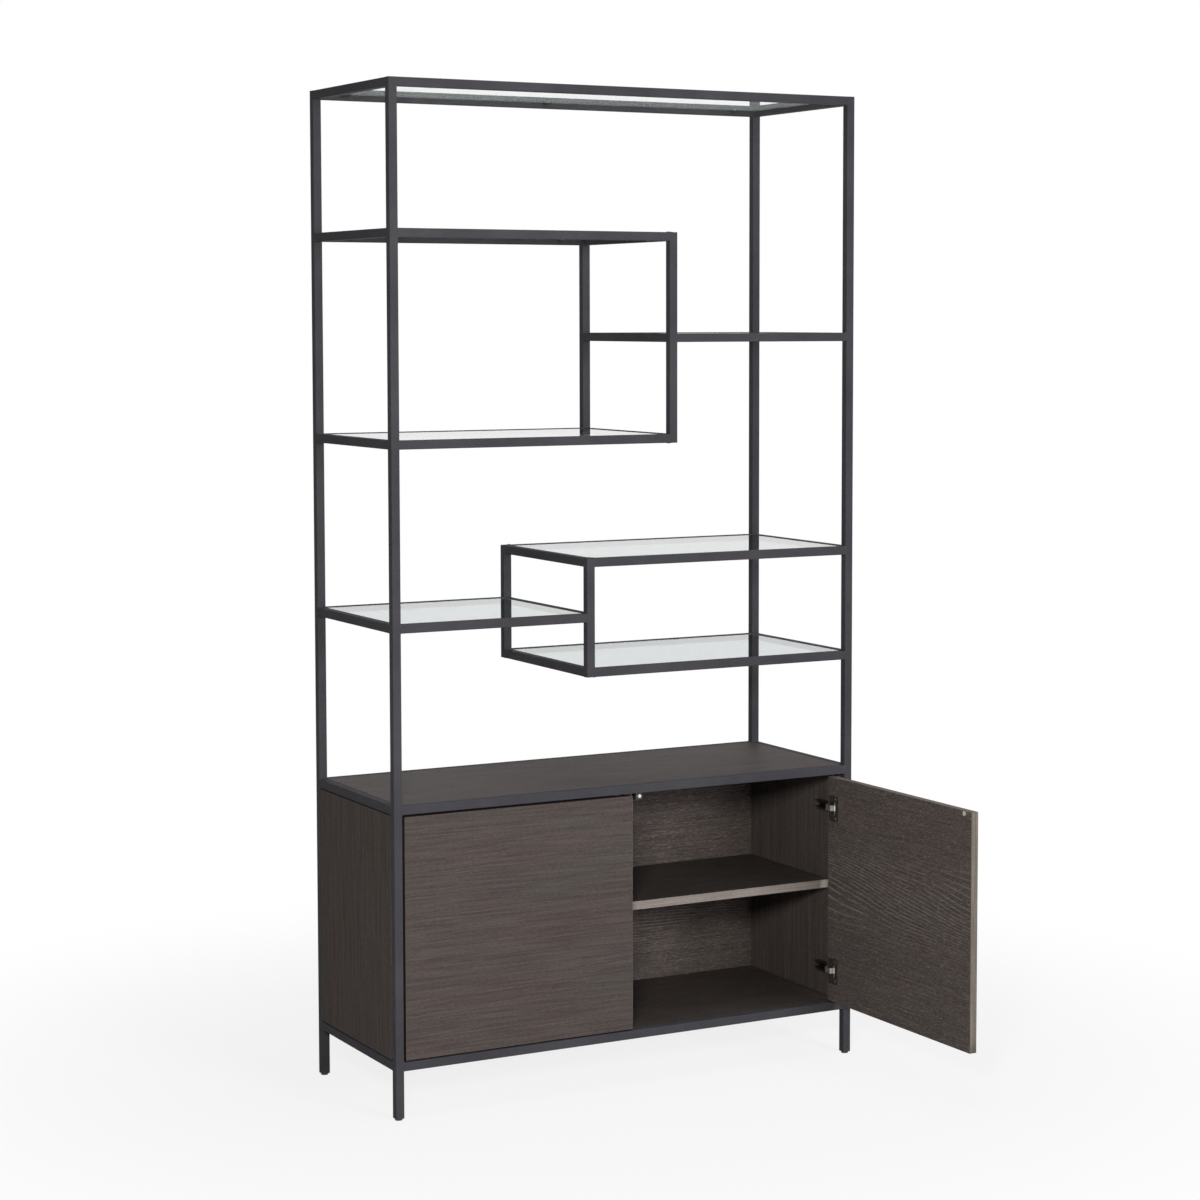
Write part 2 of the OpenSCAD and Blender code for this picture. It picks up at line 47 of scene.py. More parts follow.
# The studio: a pale floor that keeps the bookcase's shadow and fades to white, in a white surround. The
# camera stands where the photograph was taken from. A small near lamp at the front left shades the open
# cabinet, a wide one stands in front, one hangs above, and one stands low behind.
PHOTO_WIDTH, SENSOR_WIDTH = 1200, 36
FOCAL, CENTRE_U, CENTRE_V = 2788.294, 638.6067, 528.0
EYE = Vector((-3.0547812, -5.8082716, 1.7774801))
YAW, PITCH, ROLL = 0.5027405, -0.0749903, -0.0010492
WHITE = "#ffffff"
FLOOR_PAINT = "#c6c6c4"
FLOOR_HALF = 40.0
FADE_START, FADE_END, FADE_LEAST = 0.7, 2.2, 0.83
SURROUND = 0.03


def colour(text):
    """An sRGB hex colour as linear red, green and blue, with a full alpha."""
    parts = np.array([int(text[i:i + 2], 16) for i in (1, 3, 5)]) / 255
    linear = np.where(parts <= 0.04045, parts / 12.92, ((parts + 0.055) / 1.055) ** 2.4)
    return (*linear.tolist(), 1.0)


def add(tree, kind, feeds=None, **settings):
    """Adds one node with its settings. Its sockets are given as values or as the sockets that feed them."""
    made = tree.nodes.new("ShaderNode" + kind)
    for name, value in settings.items():
        setattr(made, name, value)
    for key, value in (feeds or {}).items():
        if isinstance(value, bpy.types.NodeSocket):
            tree.links.new(value, made.inputs[key])
        else:
            made.inputs[key].default_value = value
    return made


def blank(name):
    """A node material with nothing but an output, given with its tree and that output."""
    material = bpy.data.materials.new(name)
    material.use_nodes = True
    material.node_tree.nodes.clear()
    return material, material.node_tree, add(material.node_tree, "OutputMaterial")


def surface_object(name, points, faces, material, smooth=False):
    """A mesh object from an array of points in metres and an array of faces."""
    mesh = bpy.data.meshes.new(name)
    mesh.from_pydata(points.reshape(-1, 3).tolist(), [], faces.tolist())
    mesh.polygons.foreach_set("use_smooth", np.full(len(mesh.polygons), smooth))
    mesh.materials.append(material)
    mesh.update()
    made = bpy.data.objects.new(name, mesh)
    bpy.context.scene.collection.objects.link(made)
    return made


def lamp(name, place, aim, width, height, power, tint, shine=True):
    """A rectangular soft lamp, its size in metres, facing its aim. Without shine no reflection shows it."""
    data = bpy.data.lights.new(name, "AREA")
    data.shape = "RECTANGLE"
    data.size, data.size_y = width, height
    data.energy = power
    data.color = colour(tint)[:3]
    made = bpy.data.objects.new(name, data)
    made.location = place
    made.rotation_euler = (Vector(aim) - Vector(place)).to_track_quat("-Z", "Y").to_euler()
    made.visible_camera = made.visible_transmission = False
    made.visible_glossy = shine
    bpy.context.scene.collection.objects.link(made)


ahead = Vector((math.sin(YAW) * math.cos(PITCH), math.cos(YAW) * math.cos(PITCH), math.sin(PITCH)))
aside = Vector((math.cos(YAW), -math.sin(YAW), 0))
above = aside.cross(ahead)
right = aside * math.cos(ROLL) + above * math.sin(ROLL)
upward = above * math.cos(ROLL) - aside * math.sin(ROLL)
camera_data = bpy.data.cameras.new("camera")
camera_data.sensor_width = SENSOR_WIDTH
camera_data.lens = FOCAL / PHOTO_WIDTH * SENSOR_WIDTH
camera_data.shift_x = (PHOTO_WIDTH / 2 - CENTRE_U) / PHOTO_WIDTH
camera_data.shift_y = (CENTRE_V - PHOTO_WIDTH / 2) / PHOTO_WIDTH
camera_data.clip_end = 200
camera = bpy.data.objects.new("camera", camera_data)
camera.matrix_world = Matrix((right, upward, -ahead)).transposed().to_4x4()
camera.location = EYE
bpy.context.scene.collection.objects.link(camera)
bpy.context.scene.camera = camera
bpy.context.scene.view_settings.view_transform = "Standard"

floor_material, tree, output = blank("matt_studio_floor")
rays = add(tree, "LightPath")
seen = add(tree, "Math", {0: rays.outputs["Is Camera Ray"], 1: rays.outputs["Is Glossy Ray"]},
           operation="ADD")
seen = add(tree, "Math", {0: seen.outputs[0], 1: rays.outputs["Is Transmission Ray"]}, operation="ADD",
           use_clamp=True)
place = add(tree, "TexCoord")
distance = add(tree, "VectorMath", {0: place.outputs["Object"]}, operation="LENGTH")
fade = add(tree, "MapRange", {"Value": distance.outputs["Value"], "From Min": FADE_START,
                              "From Max": FADE_END, "To Min": FADE_LEAST},
           interpolation_type="SMOOTHSTEP")
grit = add(tree, "TexNoise", {"Vector": place.outputs["Object"], "Scale": 60.0, "Detail": 3.0})
shade = add(tree, "MapRange", {"Value": grit.outputs["Fac"], "To Min": 0.98, "To Max": 1.0})
painted = add(tree, "VectorMath", {0: colour(FLOOR_PAINT)[:3], "Scale": shade.outputs[0]},
              operation="SCALE")
matt = add(tree, "BsdfDiffuse", {"Color": painted.outputs[0], "Roughness": 0.5})
glow = add(tree, "Emission", {"Color": colour(WHITE), "Strength": 1.0})
share = add(tree, "Math", {0: seen.outputs[0], 1: fade.outputs[0]}, operation="MULTIPLY")
mixed = add(tree, "MixShader", {0: share.outputs[0], 1: matt.outputs[0], 2: glow.outputs[0]})
tree.links.new(mixed.outputs[0], output.inputs["Surface"])
floor_corners = np.array([(-1, -1, 0), (1, -1, 0), (1, 1, 0), (-1, 1, 0)]) * FLOOR_HALF
floor = surface_object("studio_floor", floor_corners, np.array([[0, 1, 2, 3]]), floor_material)

world = bpy.data.worlds.new("soft_surround")
bpy.context.scene.world = world
world.use_nodes = True
world.node_tree.nodes.clear()
tree = world.node_tree
rays = add(tree, "LightPath")
seen = add(tree, "Math", {0: rays.outputs["Is Camera Ray"], 1: rays.outputs["Is Glossy Ray"]},
           operation="ADD")
seen = add(tree, "Math", {0: seen.outputs[0], 1: rays.outputs["Is Transmission Ray"]}, operation="ADD",
           use_clamp=True)
level = add(tree, "MapRange", {"Value": seen.outputs[0], "To Min": SURROUND, "To Max": 1.0})
sky = add(tree, "Background", {"Color": colour(WHITE), "Strength": level.outputs[0]})
add(tree, "OutputWorld", {"Surface": sky.outputs[0]})
lamp("front_left_softbox", (-2.3, -3.85, 1.95), (0.1, 0.0, 0.95), 0.55, 0.55, 108, "#fffdf8")
lamp("front_softbox", (1.6, -7.25, 2.2), (0.0, 0.0, 1.0), 2.0, 1.4, 280, "#fdfcff")
lamp("overhead_softbox", (0.3, -0.4, 5.2), (0.0, 0.0, 1.0), 3.0, 2.0, 100, "#f8fbff", shine=False)
lamp("back_softbox", (0.4, 3.6, 0.45), (0.0, 0.2, 0.45), 2.4, 0.4, 70, "#fbfcff", shine=False)


# The frame: 20 mm square steel tube, welded, ground flush and powder coated in charcoal. The coat is
# a fine-textured satin: it gives a soft broad highlight. Its arrises are painted a little lighter in
# patches, partly as rubbed wear and partly as a painted highlight where light catches them.
MM = 0.001
COAT = "#403f43"
COAT_DUSTY = "#4a494d"
# The arrises' colour: rubbed wear and a painted highlight.
COAT_RUBBED_AND_LIT = "#6a696d"
TUBE, TUBE_EDGE = 20.0, 1.6
GRIT_SIZE, ORANGE_PEEL, DUST_SIZE = 1.3, 9.0, 140.0
RUB_WIDTH, RUB_PATCH = 1.2, 22.0
RAILS = ("top_rails", "cabinet_top_rails", "cabinet_bottom_rails", "upper_box_top_rails",
         "upper_box_bottom_rails", "middle_shelf_rails", "lower_box_top_rails", "lower_box_bottom_rails",
         "left_shelf_rails")

charcoal, tree, output = blank("charcoal_powder_coated_steel")
place = add(tree, "TexCoord")
grit = add(tree, "TexNoise", {"Vector": place.outputs["Object"], "Scale": 1 / (GRIT_SIZE * MM),
                              "Detail": 2.0})
peel = add(tree, "TexNoise", {"Vector": place.outputs["Object"], "Scale": 1 / (ORANGE_PEEL * MM),
                              "Detail": 1.0})
dust = add(tree, "TexNoise", {"Vector": place.outputs["Object"], "Scale": 1 / (DUST_SIZE * MM),
                              "Detail": 4.0, "Roughness": 0.6})
dusty = add(tree, "MapRange", {"Value": dust.outputs["Fac"], "From Min": 0.35, "From Max": 0.75})
body = add(tree, "Mix", {0: dusty.outputs[0], 6: colour(COAT), 7: colour(COAT_DUSTY)}, data_type="RGBA")
speck = add(tree, "MapRange", {"Value": grit.outputs["Fac"], "From Min": 0.3, "From Max": 0.7,
                               "To Min": 0.86, "To Max": 1.12})
specked = add(tree, "VectorMath", {0: body.outputs[2], "Scale": speck.outputs[0]}, operation="SCALE")
# The arris mask: lighter along the arrises in patches, as rubbed wear and a painted highlight.
edge = add(tree, "Bevel", {"Radius": RUB_WIDTH * MM}, samples=4)
shape = add(tree, "NewGeometry")
turn = add(tree, "VectorMath", {0: edge.outputs[0], 1: shape.outputs["True Normal"]},
           operation="DOT_PRODUCT")
lit_worn_arris = add(tree, "MapRange", {"Value": turn.outputs["Value"], "From Min": 0.995, "From Max": 0.9})
patch = add(tree, "TexNoise", {"Vector": place.outputs["Object"], "Scale": 1 / (RUB_PATCH * MM),
                               "Detail": 3.0})
patches = add(tree, "MapRange", {"Value": patch.outputs["Fac"], "From Min": 0.5, "From Max": 0.68,
                                 "To Max": 0.55})
rubbed_and_lit = add(tree, "Math", {0: lit_worn_arris.outputs[0], 1: patches.outputs[0]}, operation="MULTIPLY")
coat = add(tree, "Mix", {0: rubbed_and_lit.outputs[0], 6: specked.outputs[0], 7: colour(COAT_RUBBED_AND_LIT)},
           data_type="RGBA")
satin = add(tree, "MapRange", {"Value": grit.outputs["Fac"], "From Min": 0.3, "From Max": 0.7,
                               "To Min": 0.55, "To Max": 0.7})
relief = add(tree, "Math", {0: grit.outputs["Fac"], 1: 0.35, 2: peel.outputs["Fac"]},
             operation="MULTIPLY_ADD")
bump = add(tree, "Bump", {"Height": relief.outputs[0], "Strength": 0.35, "Distance": 0.12 * MM})
paint = add(tree, "BsdfPrincipled", {"Base Color": coat.outputs[2], "Roughness": satin.outputs[0],
                                     "Normal": bump.outputs[0], "IOR": 1.5,
                                     "Specular IOR Level": 0.03})
tree.links.new(paint.outputs[0], output.inputs["Surface"])


def wear(material, *names):
    """Gives CAD nodes one material in every slot."""
    for name in names:
        for slot in nodes[name].material_slots:
            slot.material = material


wear(charcoal, "post_front_left", "post_front_right", "post_back_left", "post_back_right",
     "upper_box_uprights", "lower_box_uprights", *RAILS, "shelf_tabs", "cabinet_tabs")


# The welds: where a rail meets a post, a bead fills the two flush seams between their rounded arrises,
# and a small concave fillet stands in the two corners. They are ground smooth and coated with the tube.
FILLET, ROOT = 1.5, 0.5
SEAM_WIDTH, SEAM_DEPTH, SEAM_PROUD = 1.9, 1.3, 0.052
AROUND, ACROSS = 28, 8


def box_mm(name):
    """The lowest and the highest corner of a CAD node, in millimetres."""
    return [np.array(corner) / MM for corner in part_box(name)]


def grid_faces(rows, columns, copies=1):
    """Quads of a grid that closes on itself both ways, for each of several copies of it."""
    row, column = np.meshgrid(np.arange(rows), np.arange(columns), indexing="ij")
    below, beside = (row + 1) % rows, (column + 1) % columns
    one = np.stack([row * columns + column, below * columns + column, below * columns + beside,
                    row * columns + beside], -1).reshape(-1, 4)
    return (one[None] + (np.arange(copies) * rows * columns)[:, None, None]).reshape(-1, 4)


def weld_bead(starts, runs):
    """
    A closed ring of weld round each rail end. The first parameter goes round the tube's rounded square
    outline, and the second round the bead's own section. The section is a concave fillet, a quarter of an
    astroid, where the outline faces up or down, and a shallow lens that fills the seam where it faces
    sideways. The share of each is the square of the outward normal's sideways part. The normal is square
    to a side, or at 45 degrees near a corner.
    """
    angle = (np.arange(AROUND) + 0.5) * 2 * np.pi / AROUND
    swell = np.stack([np.cos(angle), np.sin(angle)], -1)
    flat = TUBE / 2 - TUBE_EDGE
    corner = np.clip(swell * TUBE, -flat, flat)
    outward = np.where(np.abs(swell) > math.sin(math.pi / 8), np.sign(swell), 0)
    outward = outward / np.linalg.norm(outward, axis=1, keepdims=True)
    outline = corner + outward * TUBE_EDGE
    sideways = outward[:, 0] ** 2
    t = np.arange(ACROSS) / ACROSS * 2 * np.pi
    arc = np.clip(t / np.pi, 0, 1) * np.pi / 2
    hidden = np.sin(np.clip(t - np.pi, 0, np.pi))
    fillet = FILLET * np.stack([np.cos(arc) ** 3, np.sin(arc) ** 3], -1) - ROOT * hidden[:, None]
    seam = np.stack([SEAM_WIDTH * np.cos(t), np.minimum(SEAM_DEPTH * np.sin(t), SEAM_PROUD)], -1)
    section = fillet[None] * (1 - sideways)[:, None, None] + seam[None] * sideways[:, None, None]
    side_axis = np.stack([-runs[:, 1], runs[:, 0], np.zeros(len(runs))], -1)
    up_axis = np.array([0.0, 0.0, 1.0])
    ring = outline[:, None, :] + outward[:, None, :] * section[..., 1:]
    return (starts[:, None, None] + runs[:, None, None] * section[None, ..., :1]
            + side_axis[:, None, None] * ring[None, ..., :1] + up_axis * ring[None, ..., 1:])


starts, runs = [], []
for rails in RAILS:
    low, high = box_mm(rails)
    z = high[2] - TUBE / 2
    for y in (low[1] + TUBE / 2, high[1] - TUBE / 2):
        starts += [(low[0] + TUBE, y, z), (high[0] - TUBE, y, z)]
        runs += [(1, 0, 0), (-1, 0, 0)]
    for x in (low[0] + TUBE / 2, high[0] - TUBE / 2):
        starts += [(x, low[1] + TUBE, z), (x, high[1] - TUBE, z)]
        runs += [(0, 1, 0), (0, -1, 0)]
beads = weld_bead(np.array(starts, float), np.array(runs, float))
beads[..., 2] = np.minimum(beads[..., 2], box_mm("top_rails")[1][2] + SEAM_PROUD)
bead_faces = grid_faces(AROUND, ACROSS, len(starts))[:, ::-1]
welds = surface_object("frame_welds", beads * MM, bead_faces, charcoal, True)
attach(welds, "bookcase")


# The shelves: clear float glass, 6 mm thick, with ground and polished arrises. Face on it is nearly
# clear with a grey-green cast, and edge on it is sea green. It lies on clear soft bumpers.
GLASS_CAST, GLASS_CAST_DEEP = "#bac0c2", "#b0b6b8"
TOP_GLASS_CAST, TOP_GLASS_CAST_DEEP = "#f2f5f3", "#e8ecea"
GLASS_BODY = "#8fc7ae"
GLASS_SHADOW = "#f7f9f8"
GLASS_DENSITY = 9.0
SMEAR_SIZE, ROLLER_WAVE = 85.0, 60.0
BUMPER_CLEAR, BUMPER_CLOUDY = "#e6ebe6", "#cfd6d0"
CLOUD_SIZE = 2.5


def float_glass(name, cast, deep):
    """Glass with faint smears that dull it, a slight roller wave, and a green body that shows edge on."""
    material, tree, output = blank(name)
    place = add(tree, "TexCoord")
    smear = add(tree, "TexNoise", {"Vector": place.outputs["Object"], "Scale": 1 / (SMEAR_SIZE * MM),
                                   "Detail": 5.0, "Distortion": 1.5})
    haze = add(tree, "MapRange", {"Value": smear.outputs["Fac"], "From Min": 0.45, "From Max": 0.8,
                                  "To Min": 0.0, "To Max": 0.05})
    wave = add(tree, "TexNoise", {"Vector": place.outputs["Object"], "Scale": 1 / (ROLLER_WAVE * MM),
                                  "Detail": 0.0})
    ripple = add(tree, "Bump", {"Height": wave.outputs["Fac"], "Strength": 0.05, "Distance": 0.05 * MM})
    tint = add(tree, "Mix", {0: smear.outputs["Fac"], 6: colour(cast), 7: colour(deep)}, data_type="RGBA")
    clear = add(tree, "BsdfPrincipled", {"Base Color": tint.outputs[2], "Roughness": haze.outputs[0],
                                         "IOR": 1.52, "Transmission Weight": 1.0,
                                         "Normal": ripple.outputs[0]})
    through = add(tree, "BsdfTransparent", {"Color": colour(GLASS_SHADOW)})
    rays = add(tree, "LightPath")
    pane = add(tree, "MixShader", {0: rays.outputs["Is Shadow Ray"], 1: clear.outputs[0],
                                   2: through.outputs[0]})
    tree.links.new(pane.outputs[0], output.inputs["Surface"])
    depth = add(tree, "VolumeAbsorption", {"Color": colour(GLASS_BODY), "Density": GLASS_DENSITY})
    tree.links.new(depth.outputs[0], output.inputs["Volume"])
    return material


wear(float_glass("clear_float_glass", GLASS_CAST, GLASS_CAST_DEEP), "upper_box_top_glass", "middle_glass",
     "upper_box_bottom_glass", "lower_box_top_glass", "left_glass", "lower_box_bottom_glass")
wear(float_glass("extra_clear_float_glass", TOP_GLASS_CAST, TOP_GLASS_CAST_DEEP), "top_glass")

soft_clear, tree, output = blank("clear_polyurethane")
place = add(tree, "TexCoord")
cloud = add(tree, "TexNoise", {"Vector": place.outputs["Object"], "Scale": 1 / (CLOUD_SIZE * MM),
                              "Detail": 3.0})
milky = add(tree, "MapRange", {"Value": cloud.outputs["Fac"], "To Min": 0.12, "To Max": 0.35})
tone = add(tree, "Mix", {0: cloud.outputs["Fac"], 6: colour(BUMPER_CLEAR), 7: colour(BUMPER_CLOUDY)},
           data_type="RGBA")
gel = add(tree, "BsdfPrincipled", {"Base Color": tone.outputs[2], "Roughness": milky.outputs[0],
                                   "IOR": 1.49, "Transmission Weight": 0.8})
tree.links.new(gel.outputs[0], output.inputs["Surface"])
wear(soft_clear, "glass_bumpers")


# The boards: particle board faced with crown-cut oak veneer, stained dark grey-brown, wire brushed and
# lacquered matt. Brushing opens the pores as short dark dashes, pale stain lodges in some of them, and
# the growth rings show as faint wavy lines along the grain.
OAK_DARK = "#453d3b"
OAK_MID = "#5c524f"
OAK_COOL = "#56534f"
OAK_FLECK = "#8a807a"
OAK_PORE = "#292423"


def oak(name, along, across, seed, dark=OAK_DARK, mid=OAK_MID, cool=OAK_COOL, fleck=OAK_FLECK, streaks=4.0,
        flecks=0.3, figure=0.3, rings=9.0, pores=0.5, level=1.0, matt=(0.8, 0.94),
        wander=15.0, fan=(0.0, 0.0, 1.0, 0.0), spot=0.0, parting=None, outside=None):
    """
    Veneer whose grain runs on one axis and whose width is another. Long narrow noise gives the streaks,
    finer noise gives flecks and pores, and the sine of a warped width gives the growth rings. A fan is a
    place on the grain and width axes, a half width in metres, and the slope at which the rings lean across
    there. Spot is the share of the rings that keeps to the fan, and wander is how many rings the figure
    swings across. Level scales the whole colour: some boards and faces are painted lighter or darker with
    it, as painted light and shade. Parting is the plane between a board's two faces, as a normal that
    points to the inner one and a distance, and outside is the figure, flecks and level of the outer one.
    """
    material, tree, output = blank(name)
    place = add(tree, "TexCoord")
    parts = add(tree, "SeparateXYZ", {0: place.outputs["Object"]})
    if parting:
        inward = add(tree, "VectorMath", {0: place.outputs["Object"], 1: parting[0]},
                     operation="DOT_PRODUCT")
        inner = add(tree, "Math", {0: inward.outputs["Value"], 1: parting[1]}, operation="GREATER_THAN")
        figure, flecks, level = (
            add(tree, "MapRange", {"Value": inner.outputs[0], "To Min": outer, "To Max": own}).outputs[0]
            for outer, own in zip(outside, (figure, flecks, level)))
    third = ({"X", "Y", "Z"} - {along, across}).pop()
    turned = add(tree, "CombineXYZ", {0: parts.outputs[along], 1: parts.outputs[across],
                                      2: parts.outputs[third]})
    moved = add(tree, "VectorMath", {0: turned.outputs[0], 1: (seed, seed * 1.7, seed * 0.6)},
                operation="ADD")
    grain = moved.outputs[0]

    def stretched(length, width, detail=2.0, rough=0.5, warp=0.0):
        """Noise whose patches are that long and wide in millimetres."""
        scale = (1 / (length * MM), 1 / (width * MM), 1 / (width * MM))
        scaled = add(tree, "VectorMath", {0: grain, 1: scale}, operation="MULTIPLY")
        return add(tree, "TexNoise", {"Vector": scaled.outputs[0], "Scale": 1.0, "Detail": detail,
                                      "Roughness": rough, "Distortion": warp}).outputs["Fac"]

    leaf = add(tree, "MapRange", {"Value": stretched(260, 75, 4.0, 0.6), "From Min": 0.36,
                                  "From Max": 0.64})
    ground = add(tree, "Mix", {0: leaf.outputs[0], 6: colour(mid), 7: colour(cool)}, data_type="RGBA")
    streak = add(tree, "MapRange", {"Value": stretched(38 * streaks, streaks, 4.0, 0.62), "From Min": 0.34,
                                    "From Max": 0.66})
    streaked = add(tree, "Mix", {0: streak.outputs[0], 6: colour(dark), 7: ground.outputs[2]},
                   data_type="RGBA")
    swing = add(tree, "Math", {0: stretched(430, 260, 1.0), 1: 0.5}, operation="SUBTRACT")
    bent = add(tree, "SeparateXYZ", {0: grain})
    off = add(tree, "Math", {0: parts.outputs[across], 1: fan[1]}, operation="SUBTRACT")
    off = add(tree, "Math", {0: off.outputs[0]}, operation="ABSOLUTE")
    run = add(tree, "Math", {0: parts.outputs[along], 1: fan[0]}, operation="SUBTRACT")
    inside = add(tree, "MapRange", {"Value": off.outputs[0], "From Min": fan[2], "From Max": 0.0,
                                    "To Max": -fan[3]}, interpolation_type="SMOOTHSTEP")
    leaning = add(tree, "Math", {0: run.outputs[0], 1: inside.outputs[0], 2: bent.outputs[1]},
                  operation="MULTIPLY_ADD")
    width_mm = add(tree, "Math", {0: leaning.outputs[0], 1: 1 / (rings * MM)}, operation="MULTIPLY")
    phase = add(tree, "Math", {0: swing.outputs[0], 1: wander, 2: width_mm.outputs[0]},
                operation="MULTIPLY_ADD")
    circle = add(tree, "Math", {0: phase.outputs[0], 1: 2 * math.pi}, operation="MULTIPLY")
    sine = add(tree, "Math", {0: circle.outputs[0]}, operation="SINE")
    line = add(tree, "MapRange", {"Value": sine.outputs[0], "From Min": 0.62, "From Max": 1.0,
                                  "To Max": figure})
    patch = add(tree, "MapRange", {"Value": stretched(210, 120, 2.0, 0.6), "From Min": 0.48,
                                   "From Max": 0.62})
    focus = add(tree, "MapRange", {"Value": off.outputs[0], "From Min": fan[2], "From Max": 0.3 * fan[2]})
    patch = add(tree, "Mix", {0: spot, 2: patch.outputs[0], 3: focus.outputs[0]})
    gaps = add(tree, "MapRange", {"Value": stretched(60, 6, 3.0), "From Min": 0.34, "From Max": 0.56})
    ring = add(tree, "Math", {0: line.outputs[0], 1: patch.outputs[0]}, operation="MULTIPLY")
    ring = add(tree, "Math", {0: ring.outputs[0], 1: gaps.outputs[0]}, operation="MULTIPLY")
    ringed = add(tree, "Mix", {0: ring.outputs[0], 6: streaked.outputs[2], 7: colour(fleck)},
                 data_type="RGBA")
    dash = stretched(12, 1.5, 3.0, 0.6, 0.4)
    lodged = add(tree, "MapRange", {"Value": dash, "From Min": 0.52, "From Max": 0.74, "To Max": flecks})
    flecked = add(tree, "Mix", {0: lodged.outputs[0], 6: ringed.outputs[2], 7: colour(fleck)},
                  data_type="RGBA")
    hole = stretched(8, 0.75, 2.0, 0.5)
    pore = add(tree, "MapRange", {"Value": hole, "From Min": 0.47, "From Max": 0.34, "To Max": pores})
    pored = add(tree, "Mix", {0: pore.outputs[0], 6: flecked.outputs[2], 7: colour(OAK_PORE)},
                data_type="RGBA")
    # Level scales the colour; it paints light and shade into some boards and faces.
    toned = add(tree, "VectorMath", {0: pored.outputs[2], "Scale": level}, operation="SCALE")
    sheen = add(tree, "MapRange", {"Value": hole, "From Min": 0.3, "From Max": 0.7, "To Min": matt[1],
                               "To Max": matt[0]})
    raised = add(tree, "Math", {0: hole, 1: 0.8, 2: streak.outputs[0]}, operation="MULTIPLY_ADD")
    bump = add(tree, "Bump", {"Height": raised.outputs[0], "Strength": 0.5, "Distance": 0.2 * MM})
    lacquer = add(tree, "BsdfPrincipled", {"Base Color": toned.outputs[0], "Roughness": sheen.outputs[0],
                                           "IOR": 1.45, "Specular IOR Level": 0.06,
                                           "Normal": bump.outputs[0]})
    tree.links.new(lacquer.outputs[0], output.inputs["Surface"])
    return material


# The cabinet's top board is painted lighter than the other veneer, as painted light from above.
oak_top_lit = oak("oak_veneer_top_painted_light", "X", "Y", 0.31, cool="#585153", flecks=0.2, level=1.15,
              matt=(0.52, 0.64))
# The bottom panel and the shelves inside the cabinet are painted darker, as painted shade.
oak_along_shaded = oak("oak_veneer_lengthwise_painted_shade", "X", "Y", 0.87, flecks=0.2, level=0.8)
# The back panel, the side boards and the divider are painted lighter, as painted light.
oak_back_lit = oak("oak_veneer_back_painted_light", "X", "Z", 1.9, fleck="#8f847d", flecks=0.7, figure=0.6,
               rings=7.0, level=1.15)
oak_side_lit = oak("oak_veneer_upright_painted_light", "Z", "Y", 2.4, dark="#4a413f", streaks=7.0, flecks=0.15,
               figure=0.12, level=1.15)
wear(oak_top_lit, "cabinet_top_panel")
wear(oak_along_shaded, "cabinet_bottom_panel", "cabinet_shelf_left", "cabinet_shelf_right")
wear(oak_back_lit, "cabinet_back_panel")
wear(oak_side_lit, "cabinet_side_left", "cabinet_side_right", "cabinet_divider")


# The doors: 18 mm boards with the same veneer, its grain level, and all four edges lipped with a thin
# strip of oak. The closed door's strip is painted near black, as painted shade in the gap it stands in.
# The right one stands open at a right angle. The veneer outside was picked plain and even, and the one
# inside has more figure; the inner faces are painted lighter than the outer ones, as painted light.
door_low, door_high = box_mm("door_left")
door_hinge = next(joint for joint in frame["joints"] if joint["name"] == "door_right_hinge")
HINGE_AXIS = np.array(door_hinge["pos_m"]) / MM
DOOR_OPEN = math.radians(-door_hinge["range_deg"][0])  # the range starts at closed, counted from rest


def door_middle(turn):
    """The plane halfway through a door turned that far: the normal that points inward, and its distance."""
    normal = (-math.sin(turn), math.cos(turn), 0.0)
    return normal, float(HINGE_AXIS @ normal + (door_high[1] - door_low[1]) / 2) * MM


# Each door's inner face is painted lighter than its outer face, as painted light.
oak_door_left = oak("oak_veneer_door_inside_painted_light", "X", "Z", 3.3, dark="#494140", flecks=0.4, figure=0.3,
                    level=1.18, parting=door_middle(0.0), outside=(0.1, 0.22, 0.98))
oak_door_right = oak("oak_veneer_open_door_inside_painted_light", "Y", "Z", 4.75, dark="#494140", fleck="#a2978f",
                     flecks=0.5, figure=0.55, rings=10.0, level=1.19, wander=5.0,
                     fan=(-0.5, 0.44, 0.13, 0.17), spot=0.8, parting=door_middle(DOOR_OPEN),
                     outside=(0.08, 0.16, 0.98))
wear(oak_door_left, "door_left")
wear(oak_door_right, "door_right")

DOOR_EDGE_TONES = ("#6a615a", "#8a8279", "#857e78", "#a0988e")
# The closed door's strip is painted near black, as painted shade for the gap it stands in.
GAP_SHADE_TONES = ("#2c2725", "#3a3331", "#383432", "#4d4542")
# The shelves' strips are pale lipping, painted paler still than the doors' as painted light.
SHELF_EDGE_LIT_TONES = ("#857c76", "#a0958f", "#98908b", "#b4aaa3")
BAND_THICK, BAND_PROUD, BAND_CORNER = 0.7, 0.35, 1.0
BAND_INSET, STRIP_INSET = 0.02, 0.3
BAND_POINTS, BAND_SIDES, STRIP_ROWS = 48, 12, 16
SQUARENESS = 0.35
oak_door_edge = oak("stained_oak_door_edge", "Z", "X", 5.1, *DOOR_EDGE_TONES, figure=0.0, pores=0.3)
oak_gap_shade_edge = oak("oak_closed_door_edge_painted_shade", "X", "Z", 5.3, *GAP_SHADE_TONES, figure=0.0)
oak_shelf_edge_lit = oak("oak_shelf_edge_strip_painted_light", "X", "Z", 5.6, *SHELF_EDGE_LIT_TONES, figure=0.0,
                     pores=0.3)


